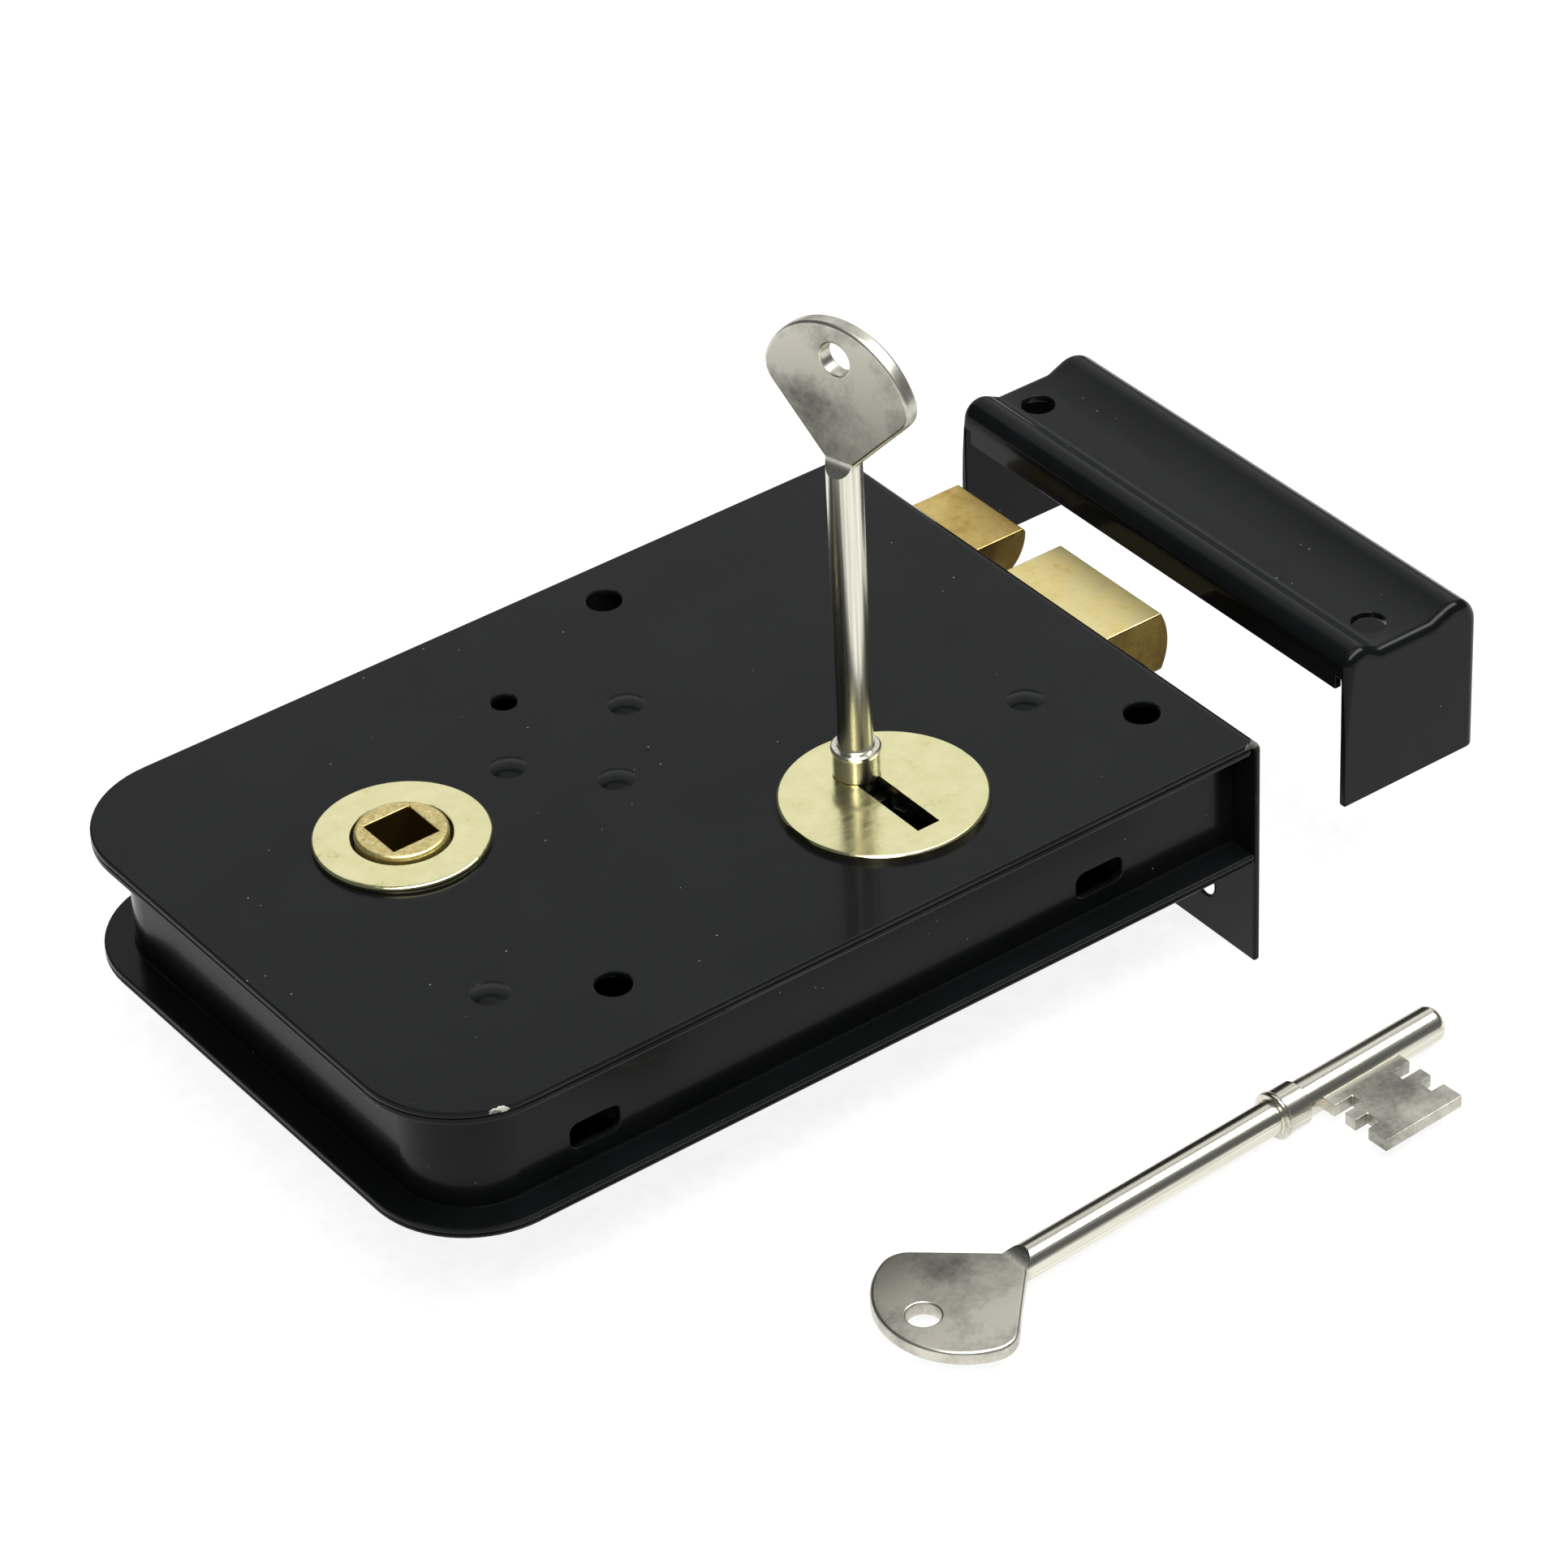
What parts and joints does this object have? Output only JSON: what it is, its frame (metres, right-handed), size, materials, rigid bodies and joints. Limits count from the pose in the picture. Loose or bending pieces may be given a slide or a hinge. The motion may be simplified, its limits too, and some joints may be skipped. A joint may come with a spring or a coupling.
{
  "type": "rim box lock",
  "caption": "Surface-mounted door lock in a sheet steel case, with a sprung latch bolt, a dead bolt thrown by a long key, a box keep and a spare key.",
  "frame": {"origin": "on the spindle axis, in the plane of the back plate that lies against the door face", "axes": "+X along the bolts towards the forend and the keep, +Y across the bolts towards the latch bolt's edge of the case, +Z out of the door face towards the room"},
  "size_m": [0.1967, 0.1538, 0.1221],
  "materials": {
    "case_paint": "satin black stove enamel with a fine grain",
    "polished_brass": "polished pale brass, finely brushed",
    "tarnished_brass": "satin brass, a little tarnished",
    "inner_steel": "plain mill finish steel",
    "painted_rivet": "riveted over and painted black with the case",
    "key_nickel": "worn nickel plate"
  },
  "bodies": {
    "case": {"face_plate": "case_paint", "rim_wall": "case_paint", "back_plate": "case_paint", "spindle_escutcheon": "polished_brass", "key_escutcheon": "polished_brass", "spacer_posts": "painted_rivet", "lever_post": "painted_rivet", "spring_post": "painted_rivet", "front_ward": "inner_steel", "back_ward": "inner_steel", "latch_guide": "inner_steel", "spring_anchor": "inner_steel", "latch_spring": "inner_steel", "spare_key": "key_nickel", "keep": "case_paint"},
    "latch": {"latch_bolt": "tarnished_brass", "latch_yoke": "inner_steel", "latch_rivets": "polished_brass"},
    "follower": {"follower": "tarnished_brass"},
    "dead_bolt": {"dead_bolt": "tarnished_brass", "bolt_tail": "inner_steel", "bolt_stump": "polished_brass", "bolt_rivets": "polished_brass"},
    "key": {"key": "key_nickel"},
    "lever_1": {"lever_1": "polished_brass", "lever_spring_1": "inner_steel"},
    "lever_2": {"lever_2": "polished_brass", "lever_spring_2": "inner_steel"}
  },
  "joints": [
    {"name": "follower_turn", "type": "hinge", "parent": "case", "child": "follower", "pos_m": [0, 0, 0], "axis": [0, 0, 1], "range_deg": [0, 40.2]},
    {"name": "latch_slide", "type": "slide", "parent": "case", "child": "latch", "axis": [1, 0, 0], "range_m": [-0.014, 0], "stiffness_N_per_m": 250, "springref_m": 0.01, "deforming": ["latch_spring"]},
    {"name": "key_turn", "type": "hinge", "parent": "case", "child": "key", "pos_m": [0.0612, -0.0312, 0], "axis": [0, 0, 1], "range_deg": [-14.5, 345.5]},
    {"name": "bolt_slide", "type": "slide", "parent": "case", "child": "dead_bolt", "axis": [1, 0, 0], "range_m": [-0.017, 0.0008]},
    {"name": "lever_1_drop", "type": "hinge", "parent": "case", "child": "lever_1", "pos_m": [0.0335, -0.008, 0], "axis": [0, 0, 1], "range_deg": [-4, 0], "stiffness_Nm_per_rad": 0.02, "springref_deg": -5.73, "deforming": ["lever_spring_1"]},
    {"name": "lever_2_drop", "type": "hinge", "parent": "case", "child": "lever_2", "pos_m": [0.0335, -0.008, 0], "axis": [0, 0, 1], "range_deg": [-4, 0], "stiffness_Nm_per_rad": 0.02, "springref_deg": -5.73, "deforming": ["lever_spring_2"]}
  ],
  "couplings": [
    {"joint": "follower_turn", "follows": "latch_slide", "rad_per_m": -50},
    {"joint": "bolt_slide", "follows": "key_turn", "m_per_rad": -0.0028}
  ]
}
